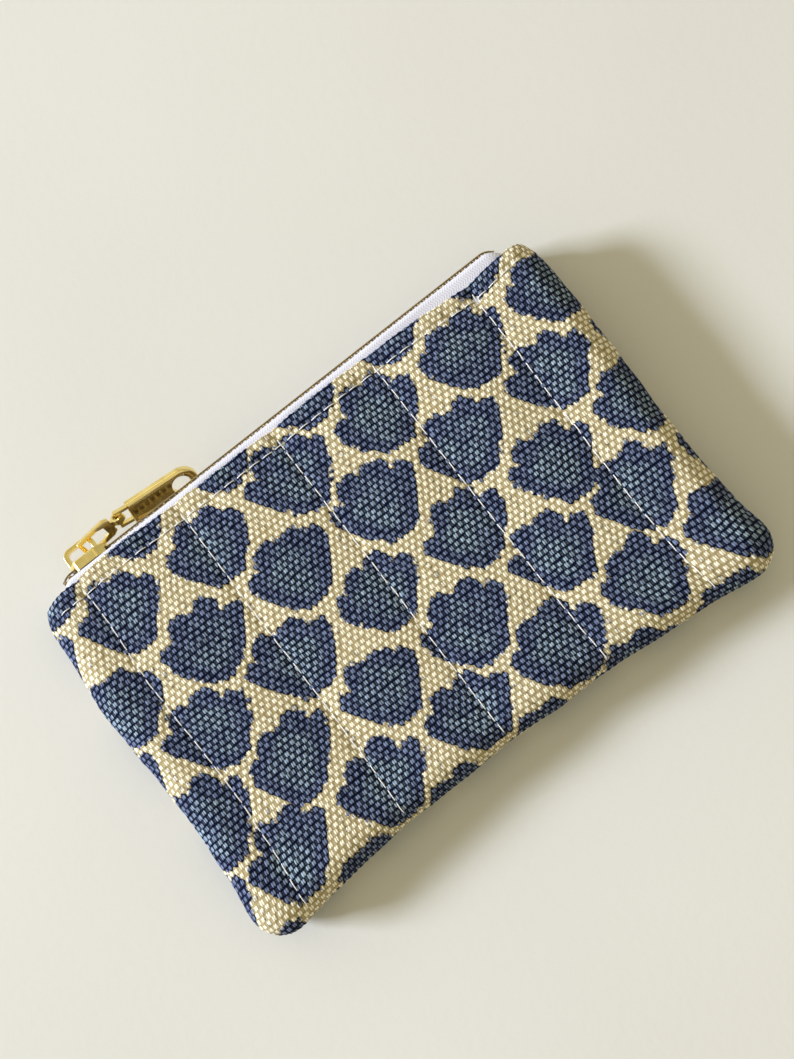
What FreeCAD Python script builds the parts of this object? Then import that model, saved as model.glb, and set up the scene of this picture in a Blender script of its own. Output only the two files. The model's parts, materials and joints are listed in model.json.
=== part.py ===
import FreeCAD, Part
import math
import os

import Sketcher

from FreeCAD import Placement, Rotation, Vector

# A small zippered pouch lying on its back. X runs along the zipper, Y points from the bottom seam to the
# zipper, and Z points up through the pouch. Z is zero at the flat back, which is what it rests on.

os.makedirs("parts", exist_ok=True)
doc = FreeCAD.newDocument("zippered_pouch")

# ---------------------------------------------------------------- sizes, in mm

SIZES = {
    # the fabric pouch
    "pouch_width": 130,
    "bottom_edge": 42,
    "mouth_edge": 41.2,
    "outline_top": 45.6,
    "pouch_thickness": 12.5,
    "edge_roundness": 6,
    "bottom_corner": 9,
    "mouth_corner": 12,
    "seam_gap": 0.05,
    # the layers of each wall
    "canvas_thickness": 0.8,
    "batting_thickness": 1.2,
    "lining_thickness": 0.3,
    "layer_gap": 0.05,
    "batting_mouth_edge": 31,
    "batting_seam_trim": 1,
    "lining_mouth_edge": 40.4,
    # the threads
    "thread_radius": 0.18,
    "stitch_length": 2.8,
    "stitch_pitch": 3.3,
    "groove_width": 0.5,
    "groove_depth": 0.4,
    "topstitch_from_mouth": 4,
    "quilt_pitch": 25.4,
    "quilt_middle": -2.9,
    "quilt_low_end": -35.4,
    "seam_thread_inset": 1.4,
    "seam_thread_drop": 0.5,
    # the zipper
    "tape_thickness": 0.5,
    "tape_half_length": 60,
    "tape_hidden_edge": 31.5,
    "tape_plane": 43.1,
    "tape_height": 4.85,
    "tape_inner_edge": 1.1,
    "tape_bend": 0.6,
    "tape_corner_from": 54.8,
    "coil_pitch": 1.5,
    "coil_start": -57.6,
    "coil_wire": 0.36,
    "coil_wire_width": 0.42,
    "coil_thickness": 1.1,
    "coil_reach": 2.2,
    "coil_head": 0.35,
    "coil_spread": 1.1,
    "coil_cord_radius": 0.15,
    "coil_thread_radius": 0.1,
    # the slider, at its closed end
    "slider_centre": -50.5,
    "slider_travel": 100,
    "slider_half_length": 4.8,
    "slider_shoulder": 4,
    "slider_nose": 1.6,
    "slider_tail": 2.2,
    "plate_thickness": 1.1,
    "tape_slot": 0.9,
    "channel_height": 2.05,
    "channel_wide": 3.45,
    "channel_narrow": 2.6,
    "post_half_width": 0.7,
    "crown_back": 4.7,
    "crown_front": 3,
    "crown_clear": 3.1,
    "crown_strap": 0.95,
    "crown_post": 1.1,
    "crown_half_width": 0.85,
    # the pull link
    "link_bar_x": 0.1,
    "link_bar_height": 1.75,
    "link_rail_centre": 1.95,
    "link_wire": 1,
    "link_slot_end": 6.2,
    "link_length": 9.9,
    "link_belly": 2.55,
    "link_shoulder": 1.8,
    "eye_radius": 1.5,
    "eye_hole_radius": 0.95,
    "eye_width": 1.4,
    "link_roll": 36,
    "link_yaw": 6,
    # the pull tab
    "tab_yaw": -6,
    "tab_pitch": 7,
    "tab_drop": 0.35,
    "tab_bar_radius": 0.55,
    "tab_arm_half_width": 2.2,
    "tab_window_half_width": 1.5,
    "tab_plate_start": 2.8,
    "tab_near_half_width": 2.8,
    "tab_end_radius": 3.65,
    "tab_end_x": 15.9,
    "tab_hole_x": 15.5,
    "tab_hole_radius": 2.2,
    "tab_thickness": 2,
    "tab_recess": 0.3,
    "tab_rim": 0.75,
}

sheet = doc.addObject("Spreadsheet::Sheet", "Sizes")
for row, (name, value) in enumerate(SIZES.items(), start=1):
    sheet.set(f"A{row}", name)
    sheet.set(f"B{row}", str(value))
    sheet.setAlias(f"B{row}", name)
doc.recompute()


class Size:
    """A length from the sheet, or a sum of such lengths, with its value and the expression that gives it."""

    def __init__(self, value, text):
        self.value = float(value)
        self.text = text

    def __add__(self, other):
        other = as_size(other)
        return Size(self.value + other.value, f"({self.text} + {other.text})")

    def __sub__(self, other):
        other = as_size(other)
        return Size(self.value - other.value, f"({self.text} - {other.text})")

    def __mul__(self, number):
        return Size(self.value * number, f"({self.text} * {number})")

    def __neg__(self):
        return Size(-self.value, f"(-{self.text})")


def as_size(thing):
    return thing if isinstance(thing, Size) else Size(thing, str(thing))


def size(name):
    return Size(SIZES[name], f"Sizes.{name}")


half_width = size("pouch_width") * 0.5
seam_height = size("pouch_thickness") * 0.5
front_start = seam_height + size("seam_gap")


# ---------------------------------------------------------------- building helpers


def bind(thing, name, amount):
    thing.setExpression(name, as_size(amount).text)


def bind_place(thing, x=0, y=0, z=0):
    for letter, amount in zip("xyz", (x, y, z)):
        bind(thing, f"Placement.Base.{letter}", amount)


def new_body(label):
    body = doc.addObject("PartDesign::Body", label)
    body.Label = label
    return body


def new_sketch(body, plane, offset=0):
    """A sketch on one of the body's own planes, moved along that plane's normal."""
    sketch = body.newObject("Sketcher::SketchObject", "Sketch")
    origin_plane = [f for f in body.Origin.OriginFeatures if f.Role == f"{plane}_Plane"][0]
    sketch.AttachmentSupport = [(origin_plane, "")]
    sketch.MapMode = "FlatFace"
    bind(sketch, "AttachmentOffset.Base.z", offset)
    return sketch


def fix_point(sketch, curve, point, x, y):
    """Dimensions one point of a sketch from the sketch's origin."""
    for kind, axis, amount in (("DistanceX", -2, as_size(x)), ("DistanceY", -1, as_size(y))):
        if abs(amount.value) < 1e-9:
            sketch.addConstraint(Sketcher.Constraint("PointOnObject", curve, point, axis))
            continue
        ends = (-1, 1, curve, point) if amount.value > 0 else (curve, point, -1, 1)
        number = sketch.addConstraint(Sketcher.Constraint(kind, *ends, abs(amount.value)))
        text = amount.text if amount.value > 0 else (-amount).text
        sketch.setExpression(f"Constraints[{number}]", text)


def draw_polygon(sketch, points):
    """A closed outline of straight lines through points, each of which is dimensioned."""
    spots = [Vector(as_size(x).value, as_size(y).value, 0) for x, y in points]
    first = sketch.GeometryCount
    for here, there in zip(spots, spots[1:] + spots[:1]):
        sketch.addGeometry(Part.LineSegment(here, there), False)
    for n in range(len(spots)):
        following = first + (n + 1) % len(spots)
        sketch.addConstraint(Sketcher.Constraint("Coincident", first + n, 2, following, 1))
    for n, (x, y) in enumerate(points):
        fix_point(sketch, first + n, 1, x, y)


def draw_circle(sketch, x, y, radius):
    centre = Vector(as_size(x).value, as_size(y).value, 0)
    number = sketch.addGeometry(Part.Circle(centre, Vector(0, 0, 1), radius.value), False)
    fix_point(sketch, number, 3, x, y)
    constraint = sketch.addConstraint(Sketcher.Constraint("Radius", number, radius.value))
    sketch.setExpression(f"Constraints[{constraint}]", radius.text)


def mirrored(points):
    """The outline through points and their mirror images across the sketch's own X axis."""
    return points + [(x, -as_size(y)) for x, y in reversed(points)]


def pad(body, sketch, length, midplane=False, reverse=False):
    feature = body.newObject("PartDesign::Pad", "Pad")
    feature.Profile = sketch
    bind(feature, "Length", length)
    feature.Reversed = reverse
    if midplane:
        feature.SideType = "Symmetric"
    doc.recompute()
    return feature


def pocket(body, sketch, length, midplane=False, reverse=False):
    feature = body.newObject("PartDesign::Pocket", "Pocket")
    feature.Profile = sketch
    bind(feature, "Length", length)
    feature.Reversed = reverse
    if midplane:
        feature.SideType = "Symmetric"
    before = body.Tip.BaseFeature if body.Tip.BaseFeature else body.Tip
    doc.recompute()
    if feature.Shape.Volume >= before.Shape.Volume:
        raise RuntimeError(f"a pocket of {body.Label} cuts nothing")
    return feature


def fillet(body, radius, wanted):
    """Rounds the edges of the body's tip that wanted(edge) picks."""
    tip = body.Tip
    names = [f"Edge{n}" for n, edge in enumerate(tip.Shape.Edges, start=1) if wanted(edge)]
    feature = body.newObject("PartDesign::Fillet", "Fillet")
    feature.Base = (tip, names)
    bind(feature, "Radius", radius)
    doc.recompute()
    if "Invalid" in feature.State:
        raise RuntimeError(f"{feature.Name} of {body.Label} fails on {names}")
    return feature


def middle(edge):
    return edge.valueAt((edge.FirstParameter + edge.LastParameter) / 2)


def runs_along(edge, direction):
    if not isinstance(edge.Curve, Part.Line):
        return False
    return abs(abs(edge.Curve.Direction.dot(direction)) - 1) < 1e-6


def cut(label, base, tool):
    feature = doc.addObject("Part::Cut", label)
    feature.Label = label
    feature.Base = base
    feature.Tool = tool
    return feature


def box(label, x, y, z, long, wide, high):
    """A block from its lowest corner and its three sides."""
    feature = doc.addObject("Part::Box", label)
    bind(feature, "Length", long)
    bind(feature, "Width", wide)
    bind(feature, "Height", high)
    bind_place(feature, x, y, z)
    return feature


def group(label, solids):
    """Separate solids of one kind, such as a row of stitches, kept as one piece."""
    feature = doc.addObject("Part::Feature", label)
    feature.Label = label
    feature.Shape = Part.makeCompound(solids)
    return feature


def mirror_in_seam(label, front):
    """The back half's copy of a front piece, across the plane of the side seams."""
    feature = doc.addObject("Part::Mirroring", label)
    feature.Label = label
    feature.Source = front
    feature.Normal = Vector(0, 0, 1)
    bind(feature, "Base.z", seam_height)
    return feature


def rod(start, end, radius):
    along = end - start
    return Part.makeCylinder(radius, along.Length, start, along)


# ---------------------------------------------------------------- the layers of the front wall


def cushion(label, inset):
    """Half of the pouch as one solid block with soft edges, smaller all round by inset."""
    body = new_body(label)
    bind_place(body, z=front_start)
    wide = half_width - inset
    low = -(size("bottom_edge") - inset)
    high = size("outline_top") - inset
    sketch = new_sketch(body, "XY")
    draw_polygon(sketch, [(-wide, low), (wide, low), (wide, high), (-wide, high)])
    pad(body, sketch, size("pouch_thickness") - front_start - inset)
    up = Vector(0, 0, 1)
    fillet(body, size("bottom_corner") - inset, lambda e: runs_along(e, up) and middle(e).y < 0)
    fillet(body, size("mouth_corner") - inset, lambda e: runs_along(e, up) and middle(e).y > 20)
    top = max(vertex.Z for vertex in body.Tip.Shape.Vertexes)
    fillet(body, size("edge_roundness") - inset, lambda e: abs(middle(e).z - top) < 1e-6)
    return body


def beyond(label, mouth_line):
    """A block that takes away everything past mouth_line, towards the zipper."""
    return box(label, -(half_width + 5), mouth_line, 0, half_width * 2 + 10, 20, 20)


canvas = size("canvas_thickness")
gap = size("layer_gap")
batting_inset = canvas + gap
batting_inner = batting_inset + size("batting_thickness")
lining_inset = batting_inner + gap * 2 + size("tape_thickness")
lining_inner = lining_inset + size("lining_thickness")

stitch_line = size("mouth_edge") - size("topstitch_from_mouth")
groove_floor = size("pouch_thickness") - size("groove_depth")
half_groove = size("groove_width") * 0.5
quilt_lines = [size("quilt_middle") + size("quilt_pitch") * n for n in (-2, -1, 0, 1, 2)]

grooves = doc.addObject("Part::MultiFuse", "stitch_grooves")
groove_boxes = [
    box(
        "topstitch_groove",
        -(half_width + 5),
        stitch_line - half_groove,
        groove_floor,
        half_width * 2 + 10,
        size("groove_width"),
        5,
    )
]
for n, line in enumerate(quilt_lines):
    groove_boxes.append(
        box(
            f"quilt_groove_{n}",
            line - half_groove,
            size("quilt_low_end") - size("stitch_length") * 0.5,
            groove_floor,
            size("groove_width"),
            size("mouth_edge") - size("quilt_low_end") + 5,
            5,
        )
    )
grooves.Shapes = groove_boxes

front_shell = cut("front_canvas_shell", cushion("canvas_outside", as_size(0)), cushion("canvas_inside", canvas))
front_trimmed = cut("front_canvas_trimmed", front_shell, beyond("past_the_mouth", size("mouth_edge")))
outer_front = cut("outer_front_panel", front_trimmed, grooves)

batting_shell = cut(
    "batting_shell", cushion("batting_outside", batting_inset), cushion("batting_inside", batting_inner)
)
batting_open = cut("batting_open", batting_shell, beyond("past_the_batting", size("batting_mouth_edge")))
seam_trim = box(
    "batting_seam_allowance",
    -(half_width + 5),
    -(size("bottom_edge") + 5),
    0,
    half_width * 2 + 10,
    120,
    front_start + size("batting_seam_trim"),
)
batting_front = cut("batting_front", batting_open, seam_trim)

lining_shell = cut(
    "lining_shell", cushion("lining_outside", lining_inset), cushion("lining_inside", lining_inner)
)
lining_front = cut("lining_front", lining_shell, beyond("past_the_lining", size("lining_mouth_edge")))

# ---------------------------------------------------------------- the zipper tape

half_tape = size("tape_thickness") * 0.5
tape_level = seam_height + size("tape_height")
tape_front = new_body("zipper_tape_front")
profile = new_sketch(tape_front, "YZ")
draw_polygon(
    profile,
    [
        (size("tape_hidden_edge"), tape_level - half_tape),
        (size("tape_plane") - half_tape, tape_level - half_tape),
        (size("tape_plane") - half_tape, seam_height + size("tape_inner_edge")),
        (size("tape_plane") + half_tape, seam_height + size("tape_inner_edge")),
        (size("tape_plane") + half_tape, tape_level + half_tape),
        (size("tape_hidden_edge"), tape_level + half_tape),
    ],
)
pad(tape_front, profile, size("tape_half_length") * 2, midplane=True)
corner_y = SIZES["tape_plane"] - SIZES["tape_thickness"] / 2
fillet(
    tape_front,
    size("tape_bend") - half_tape,
    lambda e: runs_along(e, Vector(1, 0, 0))
    and abs(middle(e).y - corner_y) < 1e-6
    and middle(e).z > seam_height.value + 2,
)
corner_y = SIZES["tape_plane"] + SIZES["tape_thickness"] / 2
fillet(
    tape_front,
    size("tape_bend") + half_tape,
    lambda e: runs_along(e, Vector(1, 0, 0))
    and abs(middle(e).y - corner_y) < 1e-6
    and middle(e).z > seam_height.value + 2,
)
# its hidden corners are trimmed away, where the canvas rounds down towards the seam
for side in (-1, 1):
    trim = new_sketch(tape_front, "XY")
    corner_from = size("tape_corner_from") * side
    corner_to = (size("tape_half_length") + 1) * side
    draw_polygon(
        trim,
        [
            (corner_from, size("tape_hidden_edge") - 1),
            (corner_to, size("tape_hidden_edge") - 1),
            (corner_to, size("mouth_edge") + gap),
            (corner_from, size("mouth_edge") + gap),
        ],
    )
    pocket(tape_front, trim, size("tape_half_length"), midplane=True)

# ---------------------------------------------------------------- the coils, their cords and their stitching

LAST_LOOP_X = 58.0
SPREAD_STARTS = 2.5
SPREAD_ENDS = -2.0


def spread_at(x):
    """How far the slider's post holds one coil off the middle line at x."""
    from_slider = x - SIZES["slider_centre"]
    part_way = (SPREAD_STARTS - from_slider) / (SPREAD_STARTS - SPREAD_ENDS)
    return SIZES["coil_spread"] * min(max(part_way, 0.0), 1.0)


def loop_positions(start):
    count = int((LAST_LOOP_X - start) / SIZES["coil_pitch"]) + 1
    return [start + n * SIZES["coil_pitch"] for n in range(count)]


def stadium(low_y, low_z, high_y, high_z, x, wide):
    """A flat slab with round ends along Z, wide in X."""
    radius = (high_y - low_y) / 2
    centre_y = (high_y + low_y) / 2
    block = Part.makeBox(wide, high_y - low_y, high_z - low_z - 2 * radius)
    block.translate(Vector(x - wide / 2, low_y, low_z + radius))
    ends = [
        Part.makeCylinder(radius, wide, Vector(x - wide / 2, centre_y, z), Vector(1, 0, 0))
        for z in (low_z + radius, high_z - radius)
    ]
    return block.fuse(ends).removeSplitter()


coil_base = SIZES["tape_plane"] + SIZES["tape_thickness"] / 2 + 0.01
coil_top = coil_base + SIZES["coil_thickness"]
wire = SIZES["coil_wire"]
middle_z = seam_height.value


def coil_loop(x):
    """One turn of the coil, as a flat ring round the cord."""
    low = middle_z - SIZES["coil_head"] + spread_at(x)
    high = middle_z + SIZES["coil_reach"] + spread_at(x)
    outside = stadium(coil_base, low, coil_top, high, x, SIZES["coil_wire_width"])
    inside = stadium(coil_base + wire, low + wire, coil_top - wire, high - wire, x, SIZES["coil_wire_width"] * 2)
    return outside.cut(inside)


def coil_cord():
    """The cord inside the loops, bent where the post parts the coils."""
    bends = [
        SIZES["coil_start"] - 0.5,
        SIZES["slider_centre"] + SPREAD_ENDS,
        SIZES["slider_centre"] + SPREAD_STARTS,
        LAST_LOOP_X + 0.5,
    ]
    y = (coil_base + coil_top) / 2
    spots = [Vector(x, y, middle_z + 1.0 + spread_at(x)) for x in bends]
    radius = SIZES["coil_cord_radius"]
    pieces = [rod(a, b, radius) for a, b in zip(spots, spots[1:])]
    pieces += [Part.makeSphere(radius, spot) for spot in spots[1:-1]]
    return pieces[0].fuse(pieces[1:])


def coil_stitches(start):
    """Short threads that hold each loop down on the tape."""
    radius = SIZES["coil_thread_radius"]
    y = coil_top + radius + 0.01
    found = []
    for x in loop_positions(start):
        z = middle_z + 1.6 + spread_at(x)
        found.append(rod(Vector(x - 0.5, y, z), Vector(x + 0.5, y, z), radius))
    return found


coil_front = group("coil_front", [coil_loop(x) for x in loop_positions(SIZES["coil_start"])])
cord_front = group("coil_cord_front", [coil_cord()])
binding_front = group("coil_stitching_front", coil_stitches(SIZES["coil_start"]))

# ---------------------------------------------------------------- the white threads

thread_radius = SIZES["thread_radius"]
thread_z = SIZES["pouch_thickness"] - thread_radius - 0.02
pitch = SIZES["stitch_pitch"]
half_stitch = SIZES["stitch_length"] / 2


def stitch(x, y, z, along):
    half = along * half_stitch
    centre = Vector(x, y, z)
    return rod(centre - half, centre + half, thread_radius)


def topstitches():
    """The row that holds the folded edge of the canvas to the tape."""
    count = int(58 / pitch)
    rows = [n * pitch for n in range(-count, count + 1)]
    return [stitch(x, stitch_line.value, thread_z, Vector(1, 0, 0)) for x in rows]


def quilting():
    """Five rows across the panel, which leave out the stitch that would cross the topstitch row."""
    found = []
    rows = int((SIZES["mouth_edge"] - SIZES["quilt_low_end"] - 2) / pitch) + 1
    for line in quilt_lines:
        for n in range(rows):
            y = SIZES["quilt_low_end"] + n * pitch
            if abs(y - stitch_line.value) > half_stitch + thread_radius + 0.05 and y + half_stitch < 40:
                found.append(stitch(line.value, y, thread_z, Vector(0, 1, 0)))
    return found


def seam_stitches():
    """The hidden row that joins the two halves round the sides and the bottom."""
    inset = SIZES["seam_thread_inset"]
    z = seam_height.value - SIZES["seam_thread_drop"]
    x = half_width.value - inset
    y = -(SIZES["bottom_edge"] - inset)
    radius = SIZES["bottom_corner"] - inset
    turn_y = -(SIZES["bottom_edge"] - SIZES["bottom_corner"])
    turn_x = half_width.value - SIZES["bottom_corner"]
    found = []
    side_count = int((31 - turn_y) / pitch)
    for side in (-1, 1):
        for n in range(side_count):
            found.append(stitch(side * x, turn_y + pitch * (n + 0.5), z, Vector(0, 1, 0)))
        for degrees in (12, 34, 56, 78):
            a = math.radians(degrees)
            centre_x = side * (turn_x + radius * math.cos(a))
            centre_y = turn_y - radius * math.sin(a)
            found.append(stitch(centre_x, centre_y, z, Vector(side * math.sin(a), math.cos(a), 0)))
    bottom_count = int(turn_x / pitch)
    for n in range(-bottom_count, bottom_count + 1):
        found.append(stitch(n * pitch, y, z, Vector(1, 0, 0)))
    return found


topstitch_front = group("topstitch_front", topstitches())
quilting_front = group("quilting_front", quilting())
seam_thread = group("seam_thread", seam_stitches())

# ---------------------------------------------------------------- the back half

outer_back = mirror_in_seam("outer_back_panel", outer_front)
batting_back = mirror_in_seam("batting_back", batting_front)
lining_back = mirror_in_seam("lining_back", lining_front)
tape_back = mirror_in_seam("zipper_tape_back", tape_front)
cord_back = mirror_in_seam("coil_cord_back", cord_front)
topstitch_back = mirror_in_seam("topstitch_back", topstitch_front)
quilting_back = mirror_in_seam("quilting_back", quilting_front)

# the back coil's loops stand half a pitch along, between the front coil's
shifted = SIZES["coil_start"] + SIZES["coil_pitch"] / 2
back_loops = group("coil_loops_shifted", [coil_loop(x) for x in loop_positions(shifted)])
coil_back = mirror_in_seam("coil_back", back_loops)
back_binding = group("coil_stitches_shifted", coil_stitches(shifted))
binding_back = mirror_in_seam("coil_stitching_back", back_binding)

# ---------------------------------------------------------------- the slider
# Its own origin is on the tape's middle plane and the seam's height. Its wide end faces the closed end.

half_slot = size("tape_slot") * 0.5
back_plate = -(half_slot + size("plate_thickness"))
channel_top = size("channel_height") - half_slot
front_plate = channel_top + size("plate_thickness")

slider = new_body("slider_body")
bind_place(slider, size("slider_centre"), size("tape_plane"), seam_height)
outline = new_sketch(slider, "XZ", -back_plate)
length = size("slider_half_length")
draw_polygon(
    outline,
    mirrored(
        [
            (-length, size("slider_nose")),
            (-length + 1.9, size("slider_shoulder")),
            (as_size(2.4), size("slider_shoulder")),
            (length, size("slider_tail")),
        ]
    ),
)
pad(slider, outline, front_plate - back_plate, reverse=True)
upright = Vector(0, 1, 0)
fillet(slider, as_size(1.4), lambda e: runs_along(e, upright))
faces = (back_plate.value, front_plate.value)
fillet(slider, as_size(0.3), lambda e: any(abs(middle(e).y - y) < 1e-6 for y in faces))

post = mirrored([(as_size(-4.4), size("post_half_width")), (as_size(-2.6), size("post_half_width"))])
post.insert(2, (as_size(-0.9), as_size(0)))

slots = new_sketch(slider, "XZ", half_slot)
draw_polygon(slots, [(-8, -8), (8, -8), (8, 8), (-8, 8)])
draw_polygon(slots, post)
pocket(slider, slots, size("tape_slot"), reverse=False)

channel = new_sketch(slider, "XZ", -half_slot)
draw_polygon(
    channel,
    mirrored(
        [
            (as_size(-8), size("channel_wide")),
            (as_size(-0.5), size("channel_wide")),
            (as_size(3), size("channel_narrow")),
            (as_size(8), size("channel_narrow")),
        ]
    ),
)
draw_polygon(channel, post)
pocket(slider, channel, channel_top - half_slot, reverse=False)

crown = new_body("slider_crown")
bind_place(crown, size("slider_centre"), size("tape_plane") + front_plate, seam_height)
arch = new_sketch(crown, "XY")
crown_top = size("crown_clear") + size("crown_strap")
back_foot = -size("crown_back")
front_foot = size("crown_front")
draw_polygon(
    arch,
    [
        (back_foot, as_size(0)),
        (back_foot + size("crown_post"), as_size(0)),
        (back_foot + size("crown_post"), size("crown_clear")),
        (front_foot - size("crown_post"), size("crown_clear")),
        (front_foot - size("crown_post"), as_size(0)),
        (front_foot, as_size(0)),
        (front_foot, crown_top),
        (back_foot, crown_top),
    ],
)
pad(crown, arch, size("crown_half_width") * 2, midplane=True)
along_z = Vector(0, 0, 1)
clear = size("crown_clear").value
fillet(crown, as_size(0.9), lambda e: runs_along(e, along_z) and abs(middle(e).y - clear) < 1e-6)
fillet(crown, as_size(1.9), lambda e: runs_along(e, along_z) and abs(middle(e).y - crown_top.value) < 1e-6)
sides = SIZES["crown_half_width"]
fillet(crown, as_size(0.25), lambda e: abs(abs(middle(e).z) - sides) < 1e-6 and middle(e).y > 0.1)

# ---------------------------------------------------------------- the pull link
# Its own origin is the middle of the bar under the crown, with X towards the tab, Z across and Y through.

link = new_body("pull_link")
rail_out = size("link_rail_centre") + size("link_wire") * 0.5
rail_in = size("link_rail_centre") - size("link_wire") * 0.5
half_wire = size("link_wire") * 0.5
plate = new_sketch(link, "XZ")
neck = size("eye_width") * 0.5
draw_polygon(
    plate,
    mirrored(
        [
            (-half_wire, rail_out),
            (as_size(2.6), size("link_belly")),
            (size("link_length") - size("link_shoulder") - 1.1, size("link_belly")),
            (size("link_length") - size("link_shoulder"), size("link_belly") - 0.6),
            (size("link_length") - size("link_shoulder"), neck),
            (size("link_length") - size("eye_radius") + 0.25, neck),
        ]
    ),
)
pad(link, plate, size("link_wire"), midplane=True)
fillet(link, as_size(0.45), lambda e: runs_along(e, upright) and middle(e).x < 0)
fillet(link, as_size(0.8), lambda e: runs_along(e, upright) and 2 < middle(e).x < 7.5)
slot = new_sketch(link, "XZ")
draw_polygon(
    slot,
    mirrored(
        [
            (half_wire, rail_in),
            (as_size(4.6), rail_in),
            (size("link_slot_end"), as_size(0.9)),
        ]
    ),
)
pocket(link, slot, as_size(4), midplane=True)
eye = new_sketch(link, "XY")
draw_circle(eye, size("link_length"), as_size(0), size("eye_radius"))
pad(link, eye, size("eye_width"), midplane=True)
eye_hole = new_sketch(link, "XY")
draw_circle(eye_hole, size("link_length"), as_size(0), size("eye_hole_radius"))
pocket(link, eye_hole, as_size(6), midplane=True)
flat_faces = (-SIZES["link_wire"] / 2, SIZES["link_wire"] / 2)
fillet(
    link,
    as_size(0.33),
    lambda e: middle(e).x < 5.6 and any(abs(middle(e).y - y) < 1e-6 for y in flat_faces),
)

# ---------------------------------------------------------------- the pull tab
# Its own origin is the middle of the bar in the link's eye, with X towards the far end.

tab = new_body("pull_tab")
end_x = SIZES["tab_end_x"]


def draw_tab(sketch, inset, start):
    """A flank line each side, tangent to the round far end, and a straight near end."""
    radius = size("tab_end_radius") - inset
    half = size("tab_near_half_width") - inset
    centre = Vector(end_x, 0, 0)
    lean = math.atan2(radius.value - half.value, end_x - start.value)
    high = Vector(end_x - radius.value * math.sin(lean), radius.value * math.cos(lean), 0)
    low = Vector(high.x, -high.y, 0)
    near_high = Vector(start.value, half.value, 0)
    near_low = Vector(start.value, -half.value, 0)
    arc = Part.ArcOfCircle(
        Part.Circle(centre, Vector(0, 0, 1), radius.value),
        math.atan2(low.y, low.x - end_x),
        math.atan2(high.y, high.x - end_x),
    )
    sketch.addGeometry(Part.LineSegment(near_low, low), False)
    sketch.addGeometry(arc, False)
    sketch.addGeometry(Part.LineSegment(high, near_high), False)
    sketch.addGeometry(Part.LineSegment(near_high, near_low), False)
    sketch.addConstraint(Sketcher.Constraint("Tangent", 0, 2, 1, 1))
    sketch.addConstraint(Sketcher.Constraint("Tangent", 1, 2, 2, 1))
    sketch.addConstraint(Sketcher.Constraint("Coincident", 2, 2, 3, 1))
    sketch.addConstraint(Sketcher.Constraint("Coincident", 3, 2, 0, 1))
    fix_point(sketch, 1, 3, size("tab_end_x"), 0)
    number = sketch.addConstraint(Sketcher.Constraint("Radius", 1, radius.value))
    sketch.setExpression(f"Constraints[{number}]", radius.text)
    fix_point(sketch, 3, 1, start, half)
    fix_point(sketch, 0, 1, start, -half)


tab_sketch = new_sketch(tab, "XZ")
draw_tab(tab_sketch, as_size(0), size("tab_plate_start"))
pad(tab, tab_sketch, size("tab_thickness"), midplane=True)
fillet(tab, as_size(0.55), lambda e: abs(abs(middle(e).y) - SIZES["tab_thickness"] / 2) < 1e-6)

for side in (-1, 1):
    depth = size("tab_recess")
    face_at = size("tab_thickness") * 0.5
    recess = new_sketch(tab, "XZ", (face_at - depth) * side)
    draw_tab(recess, size("tab_rim"), size("tab_plate_start") + 1)
    pocket(tab, recess, as_size(2), reverse=side > 0)

hole = new_sketch(tab, "XZ")
draw_circle(hole, size("tab_hole_x"), as_size(0), size("tab_hole_radius"))
pocket(tab, hole, as_size(6), midplane=True)

arms = new_sketch(tab, "XZ")
for side in (-1, 1):
    arm_in = size("tab_window_half_width") * side
    arm_out = size("tab_arm_half_width") * side
    arm_end = size("tab_plate_start") + 0.5
    draw_polygon(arms, [(as_size(0), arm_in), (arm_end, arm_in), (arm_end, arm_out), (as_size(0), arm_out)])
pad(tab, arms, size("tab_bar_radius") * 2, midplane=True)

bar = new_sketch(tab, "XY")
draw_circle(bar, as_size(0), as_size(0), size("tab_bar_radius"))
pad(tab, bar, size("tab_arm_half_width") * 2, midplane=True)

# ---------------------------------------------------------------- where the pull lies

bar_spot = Vector(
    SIZES["slider_centre"] + SIZES["link_bar_x"],
    SIZES["tape_plane"] + front_plate.value + SIZES["link_bar_height"],
    middle_z,
)
roll = Rotation(Vector(1, 0, 0), -SIZES["link_roll"])
link_turn = Rotation(Vector(0, 0, 1), SIZES["link_yaw"]).multiply(roll)
nod = Rotation(Vector(0, 1, 0), SIZES["tab_pitch"]).multiply(roll)
tab_turn = Rotation(Vector(0, 0, 1), SIZES["tab_yaw"]).multiply(nod)
link.Placement = Placement(bar_spot, link_turn)
eye_spot = bar_spot + link_turn.multVec(Vector(SIZES["link_length"], 0, 0))
tab.Placement = Placement(eye_spot + tab_turn.multVec(Vector(0, 0, -SIZES["tab_drop"])), tab_turn)

# ---------------------------------------------------------------- checking and writing the pieces

doc.recompute()

PIECES = [
    outer_back,
    batting_back,
    lining_back,
    tape_back,
    coil_back,
    cord_back,
    binding_back,
    topstitch_back,
    quilting_back,
    seam_thread,
    outer_front,
    batting_front,
    lining_front,
    tape_front,
    coil_front,
    cord_front,
    binding_front,
    topstitch_front,
    quilting_front,
    slider,
    crown,
    link,
    tab,
]

for thing in doc.Objects:
    if "Invalid" in thing.State or "Error" in thing.State:
        raise RuntimeError(f"{thing.Label} did not compute: {thing.State}")

for piece in PIECES:
    shape = piece.Shape
    if shape.isNull() or not shape.isValid() or not shape.Solids:
        raise RuntimeError(f"{piece.Label} is not a sound solid")
    shape.exportStep(f"parts/{piece.Label}.step")
    bounds = shape.BoundBox
    print(
        f"{piece.Label}: {len(shape.Solids)} solids,",
        f"x {bounds.XMin:.2f} to {bounds.XMax:.2f},",
        f"y {bounds.YMin:.2f} to {bounds.YMax:.2f},",
        f"z {bounds.ZMin:.2f} to {bounds.ZMax:.2f}",
    )

print("link turns about", bar_spot)
print("tab turns about", eye_spot)
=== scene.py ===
import json
import math

import bpy
import numpy as np
from mathutils import Matrix, Vector


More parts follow.
